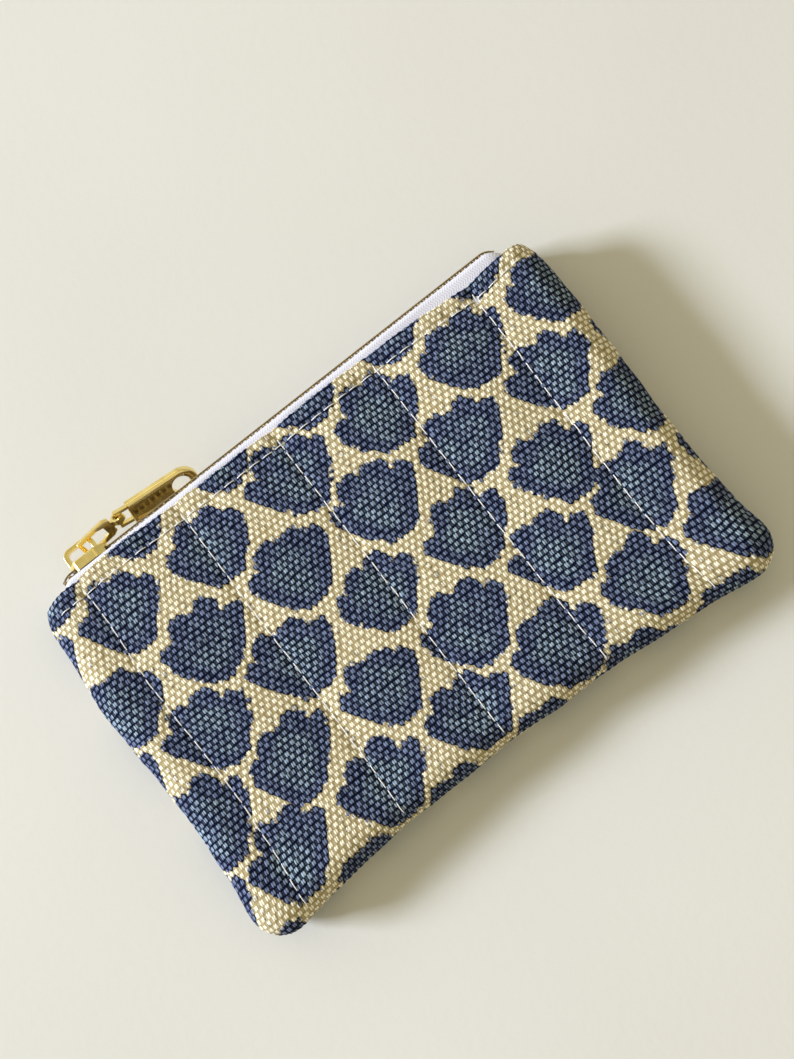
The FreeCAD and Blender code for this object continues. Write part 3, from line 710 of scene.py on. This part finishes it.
def petal_side(g, height):
    """A petal's half width at a height above its foot."""
    curve = g.node("ShaderNodeFloatCurve", {"Value": g.math("DIVIDE", height, PETAL_TALL)})
    points = curve.mapping.curves[0].points
    points[0].location = (0.0, PETAL_SIDES[0][1] / PETAL_SCALE)
    points[1].location = (1.0, 0.0)
    for at, half in PETAL_SIDES[1:]:
        points.new(at / PETAL_TALL, half / PETAL_SCALE)
    for point in points:
        point.handle_type = "VECTOR"
    curve.mapping.update()
    return g.math("MULTIPLY", curve.outputs[0], PETAL_SCALE)


def lobe(g, x, y, at_x, at_y, radius):
    """Distance inside a circle."""
    du, dv = g.math("SUBTRACT", x, at_x), g.math("SUBTRACT", y, at_y)
    far = g.math("SQRT", g.math("ADD", g.math("MULTIPLY", du, du), g.math("MULTIPLY", dv, dv)))
    return g.math("SUBTRACT", radius, far)


def petals(g, x, y, offset_x, offset_y):
    """Distance in millimetres inside the nearest petal of one of the print's two interleaved sets."""
    cell_x, cell_y = PETAL_X, 2 * PETAL_Y
    sx = g.math("DIVIDE", g.math("SUBTRACT", x, offset_x), cell_x)
    sy = g.math("DIVIDE", g.math("SUBTRACT", y, offset_y), cell_y)
    nx, ny = g.math("ROUND", sx), g.math("ROUND", sy)
    rand = g.chance(nx, ny, offset_y)
    u = g.math("MULTIPLY", g.math("SUBTRACT", sx, nx), cell_x)
    v = g.math("MULTIPLY", g.math("SUBTRACT", sy, ny), cell_y)
    u = g.math("ADD", u, g.span(rand[0], 0, 1, -0.5, 0.5))
    v = g.math("ADD", v, g.span(rand[1], 0, 1, -0.8, 1.2))
    swell = g.span(rand[2], 0, 1, 0.93, 1.04)
    u, v = g.math("MULTIPLY", u, swell), g.math("MULTIPLY", v, swell)
    lean = g.span(rand[0], 0, 1, 0.06, -0.06)
    u = g.math("ADD", u, g.math("MULTIPLY", v, lean))
    # each half of a petal is cut by hand, a little unlike the other
    half_id = g.math("ADD", g.math("MULTIPLY", nx, 2.0), g.math("GREATER_THAN", u, 0.0))
    hand = g.chance(half_id, ny, offset_x)
    v = g.math("ADD", v, PETAL_LOW)
    side = g.math("ABSOLUTE", u)
    half = g.math("MULTIPLY", petal_side(g, v), g.span(hand[2], 0, 1, 0.96, 1.05))
    body = g.math("SUBTRACT", half, side)
    body = g.math("MINIMUM", body, g.math("MULTIPLY", v, 1.6))
    # two round lobes scallop its top: the crown beside the middle and the ear at the shoulder
    crown = lobe(g, side, v, g.span(hand[0], 0, 1, 2.5, 3.2), g.span(hand[1], 0, 1, 13.0, 14.2), 3.3)
    ear = lobe(g, side, v, g.span(hand[1], 0, 1, 7.2, 8.0), g.span(hand[0], 0, 1, 10.3, 11.3), 2.3)
    return g.math("MAXIMUM", body, g.math("MAXIMUM", crown, ear))


def warp_floats(g, x, y, odd):
    """One set of the canvas's warp floats, each two strands side by side.

    Returns the height on the nearest float, how lit it is, and its middle.
    """
    shift_x, shift_y = odd * WEAVE_X / 2, odd * WEAVE_Y / 2
    column = g.math("ROUND", g.math("DIVIDE", g.math("SUBTRACT", x, shift_x), WEAVE_X))
    row = g.math("ROUND", g.math("DIVIDE", g.math("SUBTRACT", y, shift_y), WEAVE_Y))
    mid_x = g.math("ADD", g.math("MULTIPLY", column, WEAVE_X), shift_x)
    mid_y = g.math("ADD", g.math("MULTIPLY", row, WEAVE_Y), shift_y)
    pair = g.chance(column, row, odd)
    off_x = g.math("SUBTRACT", x, g.math("ADD", mid_x, g.span(pair[0], 0, 1, -0.10, 0.10)))
    off_y = g.math("SUBTRACT", y, g.math("ADD", mid_y, g.span(pair[1], 0, 1, -0.16, 0.16)))
    side, rise = g.math("ABSOLUTE", off_x), g.math("ABSOLUTE", off_y)
    lane = g.math("ABSOLUTE", g.math("SUBTRACT", side, 0.225))
    wide = g.math("DIVIDE", lane, g.span(pair[2], 0, 1, 0.19, 0.25))
    tall = g.math("DIVIDE", rise, g.span(pair[0], 0, 1, 0.47, 0.62))
    oval = g.math("ADD", g.math("POWER", wide, 2.0), g.math("POWER", tall, 2.6))
    high = g.math("SUBTRACT", 1.0, oval)
    strand = g.node(
        "ShaderNodeTexWhiteNoise",
        {"Vector": g.join(column, row, g.math("ADD", g.math("GREATER_THAN", off_x, 0.0), 3.0 + 2 * odd))},
        noise_dimensions="3D",
    ).outputs["Value"]
    # painted light: the float is coloured brighter towards its crown, and each strand is scaled by its own
    # random tone, which also paints glints on some strands
    light = g.math("POWER", g.math("MAXIMUM", high, 0.0), 0.5)
    light = g.math("MULTIPLY", light, g.span(strand, 0, 1, 0.68, 1.12))
    return high, light, mid_x, mid_y


def canvas_material():
    """Heavy cotton canvas, printed with staggered blue petals on natural cloth."""
    g = Graph("printed_canvas_look")
    x, y, flat = g.cloth()
    # the warp floats stand in two staggered sets; whichever is higher here shows
    (high_a, lit_a, *mid_a), (high_b, lit_b, *mid_b) = warp_floats(g, x, y, 0), warp_floats(g, x, y, 1)
    pick = g.math("GREATER_THAN", high_b, high_a)
    warp = g.math("MAXIMUM", lit_a, lit_b)
    middle = [
        g.math("ADD", one, g.math("MULTIPLY", pick, g.math("SUBTRACT", two, one)))
        for one, two in zip(mid_a, mid_b)
    ]
    # between them the weft dips across, painted dim as shade under the floats
    wave_x = g.math("COSINE", g.math("MULTIPLY", x, 2 * math.pi / WEAVE_X))
    wave_y = g.math("COSINE", g.math("MULTIPLY", y, 2 * math.pi / WEAVE_Y))
    weft = g.span(g.math("MULTIPLY", wave_x, wave_y), -0.3, -0.9, 0.0, 0.18)
    strand = g.math("ABSOLUTE", g.math("SINE", g.math("MULTIPLY", y, 4 * math.pi / WEAVE_Y)))
    weft = g.math("MULTIPLY", weft, g.span(strand, 0.1, 0.9, 0.25, 1.0))
    fibre = g.noise(g.stretched(flat, 7.5, 2.4, 1.0), 1.0, 3.0, 0.65)
    lit = g.math("MAXIMUM", warp, weft)
    lit = g.math("MULTIPLY", lit, g.span(fibre, 0.25, 0.70, 0.72, 1.15), clamp=True)

    # the ink is looked up mostly at the yarn's middle, so the print's edges step with the weave
    wobble = g.node(
        "ShaderNodeTexNoise", {"Vector": flat, "Scale": 0.5, "Detail": 3.0, "Roughness": 0.6}
    ).outputs["Color"]
    wobble = g.node("ShaderNodeSeparateColor", {"Color": wobble}).outputs
    ink = []
    for centre, here, drift in ((middle[0], x, wobble[0]), (middle[1], y, wobble[1])):
        at = g.math("ADD", g.math("MULTIPLY", centre, 0.6), g.math("MULTIPLY", here, 0.4))
        ink.append(g.math("ADD", at, g.span(drift, 0, 1, -1.2, 1.2)))
    ink_x = g.math("SUBTRACT", ink[0], g.math("MULTIPLY", ink[1], 0.01))
    first = petals(g, ink_x, ink[1], -5.15, 29.3)
    second = petals(g, ink_x, ink[1], 5.85, 14.0)
    inside = g.math("MAXIMUM", first, second)
    inked = g.span(inside, -0.20, 0.12, smooth=True)
    deep = g.span(inside, 2.0, 5.6, smooth=True)

    # ink: greyer and paler towards each petal's middle, in patches; painted shade makes it navy in the gaps
    # between the yarns, painted light makes it paler on their tops
    patchy = g.noise(flat, 0.10, 3.0, 0.6)
    worn = g.math("MULTIPLY", deep, g.span(patchy, 0.36, 0.60, 0.25, 1.0, smooth=True))
    blue_lit_top = g.mix(worn, rgb(126, 139, 174), rgb(172, 193, 212))
    blue_gap_shade = g.mix(worn, rgb(4, 10, 34), rgb(6, 15, 36))
    blue = g.mix(lit, blue_gap_shade, blue_lit_top)
    slub = g.noise(g.stretched(flat, 0.9, 2.2, 1.0), 0.5, 3.0, 0.6)
    cream_lit_top = g.mix(g.span(slub, 0.35, 0.7), rgb(252, 247, 228), rgb(244, 232, 200))
    # painted shade: the natural cloth is coloured brown in the gaps between the yarns and cream on their
    # lit tops
    cream = g.mix(g.span(lit, 0.0, 0.6), rgb(160, 144, 106), cream_lit_top)
    g.colour(g.mix(inked, cream, blue))
    g.rough(g.span(lit, 0, 1, 0.95, 0.80))
    height = g.math("ADD", g.math("MULTIPLY", lit, 0.8), g.math("MULTIPLY", fibre, 0.2))
    g.bump(height, 0.00020, 0.9)
    g.set(Sheen_Weight=0.02, Sheen_Roughness=0.5, Specular_IOR_Level=0.06)
    return g.material


def woven_material(name, light, dark, scale_x, scale_y, bump, rough, sheen, herring=False):
    """Fine cloth, plain or herringbone, with its ribs so many radians per millimetre apart each way."""
    g = Graph(name)
    x, y, flat = g.cloth()
    if herring:
        fold = g.math("PINGPONG", y, 0.8)
        line = g.math("ADD", g.math("MULTIPLY", x, scale_x), g.math("MULTIPLY", fold, scale_y * 1.4))
        cross = g.math("SINE", line)
        pattern = g.math("MULTIPLY", cross, g.math("SINE", g.math("MULTIPLY", y, scale_y * 2.3)))
        pattern = g.math("ADD", g.math("MULTIPLY", cross, 0.7), g.math("MULTIPLY", pattern, 0.3))
    else:
        warp = g.math("SINE", g.math("MULTIPLY", x, scale_x))
        weft = g.math("SINE", g.math("MULTIPLY", y, scale_y))
        pattern = g.math("MULTIPLY", warp, weft)
    fuzz = g.noise(flat, 4.0, 4.0, 0.7)
    height = g.math("ADD", g.span(pattern, -1, 1, 0, 0.8), g.math("MULTIPLY", fuzz, 0.35))
    # painted shade and light: the weave's dips are coloured dark and its raised ribs light, from the same
    # height as the bump, with the fuzz adding random tone
    g.colour(g.mix(g.span(height, 0.1, 0.9), dark, light))
    g.rough(g.span(fuzz, 0.2, 0.8, rough - 0.06, rough + 0.06))
    g.bump(height, bump, 0.8)
    g.set(Sheen_Weight=sheen, Specular_IOR_Level=0.3)
    return g.material


def thread_material(name, light, dark, gloss=0.55):
    """Spun thread: fine fibres along the ply, a little light and dark."""
    g = Graph(name)
    place = g.place()
    fibre = g.noise(place, 6.0, 4.0, 0.7)
    wide = g.noise(place, 0.6, 2.0)
    shade = g.math("ADD", g.math("MULTIPLY", fibre, 0.7), g.math("MULTIPLY", wide, 0.3))
    g.colour(g.mix(g.span(shade, 0.32, 0.66), dark, light))
    g.rough(g.span(fibre, 0.2, 0.8, gloss, gloss + 0.2))
    g.bump(fibre, 0.00004, 0.6)
    g.set(Sheen_Weight=0.25, Specular_IOR_Level=0.35)
    return g.material


def coil_material():
    """Gold-brown nylon, brighter in broad random patches."""
    g = Graph("coil_nylon_look")
    place = g.place()
    smear = g.noise(place, 0.9, 3.0)
    fine = g.noise(place, 7.0, 2.0)
    g.colour(g.mix(g.span(smear, 0.3, 0.7), rgb(98, 76, 34), rgb(156, 130, 72)))
    g.rough(g.span(fine, 0.2, 0.8, 0.24, 0.42))
    g.bump(fine, 0.00002, 0.5)
    g.set(Specular_IOR_Level=0.55, Coat_Weight=0.3, Coat_Roughness=0.2)
    return g.material


def gold_material():
    """Bright gilt: a soft polish with faint hairlines and a few duller patches."""
    g = Graph("gold_metal_look")
    place = g.place()
    patch = g.noise(place, 0.35, 3.0)
    hair = g.noise(g.stretched(place, 0.8, 7.0, 7.0), 1.0, 4.0, 0.6)
    g.colour(g.mix(g.span(patch, 0.3, 0.7), (0.90, 0.71, 0.27, 1), (0.96, 0.80, 0.36, 1)))
    g.rough(g.math("ADD", g.span(patch, 0.3, 0.75, 0.16, 0.26), g.span(hair, 0.4, 0.7, 0.0, 0.06)))
    g.bump(hair, 0.00001, 0.25)
    g.set(Metallic=1.0)
    return g.material


def batting_material():
    """Loose white fibre."""
    g = Graph("batting_look")
    place = g.place()
    loose = g.noise(place, 1.2, 6.0, 0.8)
    g.colour(g.mix(g.span(loose, 0.3, 0.7), rgb(214, 212, 204), rgb(246, 245, 240)))
    g.rough(g.span(loose, 0, 1, 0.9, 1.0))
    g.bump(loose, 0.0004, 0.8)
    g.set(Sheen_Weight=0.4)
    return g.material


def table_material():
    """Pale matt laminate, a little cloudy."""
    g = Graph("table_look")
    place = g.place()
    grain = g.noise(place, 0.5, 5.0, 0.6)
    cloud = g.noise(place, 0.006, 2.0)
    g.colour(g.mix(g.span(cloud, 0.35, 0.65), rgb(209, 207, 200), rgb(214, 212, 206)))
    g.rough(g.span(grain, 0.3, 0.7, 0.72, 0.86))
    g.bump(grain, 0.0001, 0.35)
    return g.material


def paint(obj, material):
    """One material for the whole piece."""
    obj.data.materials.clear()
    obj.data.materials.append(material)
    return obj


canvas = canvas_material()
# the darker colours of the lining and the tape are painted shade for the dips of their weave
lining_cloth = woven_material(
    "lining_cloth_look", rgb(238, 236, 228), rgb(196, 193, 184), 9.0, 9.0, 0.00006, 0.85, 0.15
)
tape_cloth = woven_material(
    "zipper_tape_look", rgb(222, 221, 232), rgb(186, 184, 198), 10.0, 5.0, 0.00008, 0.7, 0.2, herring=True
)
white_thread = thread_material("white_thread_look", rgb(255, 254, 255), rgb(228, 228, 232))
coil_thread = thread_material("coil_thread_look", rgb(156, 134, 80), rgb(92, 72, 36), 0.6)
nylon = coil_material()
gold = gold_material()
batting = batting_material()


# ---------------------------------------------------------------- the pieces

def open_mouth(obj):
    """Bakes a front piece's transform into its mesh; the vertex places it reads are not used."""
    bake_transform(obj)
    count = len(obj.data.vertices)
    at = np.empty(count * 3)
    obj.data.vertices.foreach_get("co", at)
    return obj


def settle(obj, front, material, slot, *nodes):
    """Paints a piece, ties a back piece to the back body or bakes a front piece's transform, and hides the
    CAD nodes it stands for.
    """
    paint(obj, material)
    if front:
        open_mouth(obj)
    else:
        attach(obj, "pouch_back")
    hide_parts(*nodes)
    return obj


# A canvas panel's face is this fine, and its inner face takes every fourth row and column.
COLUMNS, ROWS = 365, 209
COARSE = 4


def fluffy(a, b, angle):
    """How far the batting's faces stand off their even place."""
    return 0.06 * np.sin(a * 1.9 + np.sin(b * 1.3)) * np.sin(b * 1.7 + np.sin(a * 1.1)) - 0.05


def limp(a, b, angle):
    """How far the lining stands off its even place: loose in the middle, smooth at its edge."""
    return 0.10 * ripple(a, b, 1.7) * (1 - smooth_step(angle, 1.0, 1.5)) - 0.04


for front, half, shift in ((True, "front", 0.0), (False, "back", 2.4)):
    body = panel(f"canvas_panel_{half}", COLUMNS, ROWS, COARSE, front, shift)
    settle(body, front, canvas, "printed_canvas", f"outer_{half}_panel")

    wadding, _ = slab(
        f"batting_sheet_{half}", 131, 80, 0.95, 1.95, 30.9, math.radians(75), fluffy, front
    )
    settle(wadding, front, batting, "batting", f"batting_{half}")

    liner, layers = slab(
        f"lining_cloth_{half}", 131, 86, 2.70, 2.92, 40.3, math.pi / 2, limp, front
    )
    settle(liner, front, lining_cloth, "lining_cloth", f"lining_{half}")

    settle(tape(f"tape_{half}", front), front, tape_cloth, "zipper_tape", f"zipper_tape_{half}")
    settle(coil(f"zip_coil_{half}", front), front, nylon, "coil_nylon", f"coil_{half}")
    settle(coil_cord(f"zip_cord_{half}", front), front, coil_thread, "coil_thread", f"coil_cord_{half}")
    settle(
        coil_stitching(f"zip_lockstitch_{half}", front),
        front,
        coil_thread,
        "coil_thread",
        f"coil_stitching_{half}",
    )
    mouth_row = topstitch(f"mouth_stitches_{half}", shift, front)
    settle(mouth_row, front, white_thread, "white_thread", f"topstitch_{half}")
    quilt_rows = quilting(f"quilt_stitches_{half}", shift, front)
    settle(quilt_rows, front, white_thread, "white_thread", f"quilting_{half}")

settle(seam_thread("seam_stitches"), False, white_thread, "white_thread", "seam_thread")

for node in ("slider_body", "slider_crown", "pull_link", "pull_tab"):
    metal = frame["nodes"][node]
    for n in range(len(metal.material_slots)):
        metal.material_slots[n].material = gold


def beading():
    """The row of fine beads inside the rim of both faces of the pull tab."""
    radius, pitch = 0.26, 0.60
    end_x, end_r, near_half, near_x = 15.9, 3.65, 2.8, 2.8
    inset, face_y = 1.05, 0.70
    far = math.hypot(end_x - near_x, near_half)
    tip = math.atan2(near_half, end_x - near_x)
    slope = math.asin(end_r / far) - tip
    line = []
    touch = (end_x - (end_r - inset) * math.sin(slope), (end_r - inset) * math.cos(slope))
    x = touch[0]
    while x > 4.15:
        line.append((x, touch[1] - (touch[0] - x) * math.tan(slope)))
        x -= pitch * math.cos(slope)
    line = line[::-1]
    reach = end_r - inset
    turn = math.pi / 2 + slope
    steps = int(2 * turn * reach / pitch)
    arc = []
    for n in range(1, steps):
        at = turn - n * 2 * turn / steps
        arc.append((end_x + reach * math.cos(at), reach * math.sin(at)))
    border = line + arc + [(p[0], -p[1]) for p in line[::-1]]
    ball_points, ball_faces = [], []
    rings, around = 5, 8
    for r in range(rings + 1):
        t = math.pi * r / rings
        for k in range(around):
            f = 2 * math.pi * k / around
            ball_points.append((math.sin(t) * math.cos(f), math.cos(t), math.sin(t) * math.sin(f)))
    for r in range(rings):
        for k in range(around):
            a, b = r * around + k, r * around + (k + 1) % around
            ball_faces.append((a, b, b + around, a + around))
    pile = Pile()
    for face in (1, -1):
        for x, z in border:
            pile.add(np.array(ball_points) * radius + np.array([x, face * face_y, z]), ball_faces)
    obj = pile.build("tab_beading")
    # the tab at rest hangs from the link's eye, turned, tilted and rolled as in the CAD
    turn_z = Matrix.Rotation(math.radians(-6), 4, "Z")
    tilt_y = Matrix.Rotation(math.radians(7), 4, "Y")
    turned = turn_z @ tilt_y @ Matrix.Rotation(math.radians(-36), 4, "X")
    tab_joint = next(joint for joint in frame["joints"] if joint["name"] == "tab_swing")
    spot = Vector(tab_joint["pos_m"]) / MM + turned.to_3x3() @ Vector((0, 0, -0.35))
    obj.data.transform(Matrix.Translation(spot * MM) @ turned)
    return obj


beads = paint(beading(), gold)
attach(beads, "pull_tab")


# ---------------------------------------------------------------- table, light and camera

def table_top():
    """A wide level table, just under the pouch."""
    half_size, count = 4000.0, 60
    at = np.linspace(-half_size, half_size, count)
    x, y = np.meshgrid(at, at)
    points = np.stack([x, y, np.full_like(x, -0.02)], -1).reshape(-1, 3)
    obj = make_object("table_top", points, grid_faces(count, count))
    paint(obj, table_material())


def area_light(name, place, wide, tall, power, colour):
    """A rectangular soft light at a place in metres, facing the pouch."""
    data = bpy.data.lights.new(name, "AREA")
    data.shape, data.size, data.size_y = "RECTANGLE", wide, tall
    data.energy, data.color = power, colour
    obj = bpy.data.objects.new(name, data)
    obj.location = Vector(place)
    obj.rotation_euler = (-Vector(place)).to_track_quat("-Z", "Y").to_euler()
    bpy.context.scene.collection.objects.link(obj)


table_top()
area_light("window_light", (-2.443, 1.288, 1.172), 0.85, 0.53, 163.0, (0.80, 0.86, 1.0))
area_light("ceiling_light", (0.3, -0.1, 1.45), 1.4, 1.4, 2.4, (1.0, 0.88, 0.52))
area_light("wall_light", (-0.5, 1.6, 0.6), 1.6, 0.9, 4.0, (1.0, 0.95, 0.80))

world = bpy.data.worlds.new("soft_room")
bpy.context.scene.world = world
world.use_nodes = True
world.node_tree.nodes["Background"].inputs["Color"].default_value = (1.0, 0.93, 0.66, 1.0)
world.node_tree.nodes["Background"].inputs["Strength"].default_value = 0.49

camera_data = bpy.data.cameras.new("camera")
camera_data.sensor_width = 36.0
camera_data.lens = 54.05
camera_data.clip_start, camera_data.clip_end = 0.01, 20.0
camera = bpy.data.objects.new("camera", camera_data)
right = Vector((0.78721, -0.60525, -0.11826))
forward = Vector((-0.00143, 0.18997, -0.98179))
upward = right.cross(forward)
camera.matrix_world = Matrix.Translation(Vector((5.83, -54.95, 335.6)) * MM) @ Matrix(
    (
        (right.x, upward.x, -forward.x, 0),
        (right.y, upward.y, -forward.y, 0),
        (right.z, upward.z, -forward.z, 0),
        (0, 0, 0, 1),
    )
)
bpy.context.scene.collection.objects.link(camera)
bpy.context.scene.camera = camera
bpy.context.scene.view_settings.view_transform = "Standard"
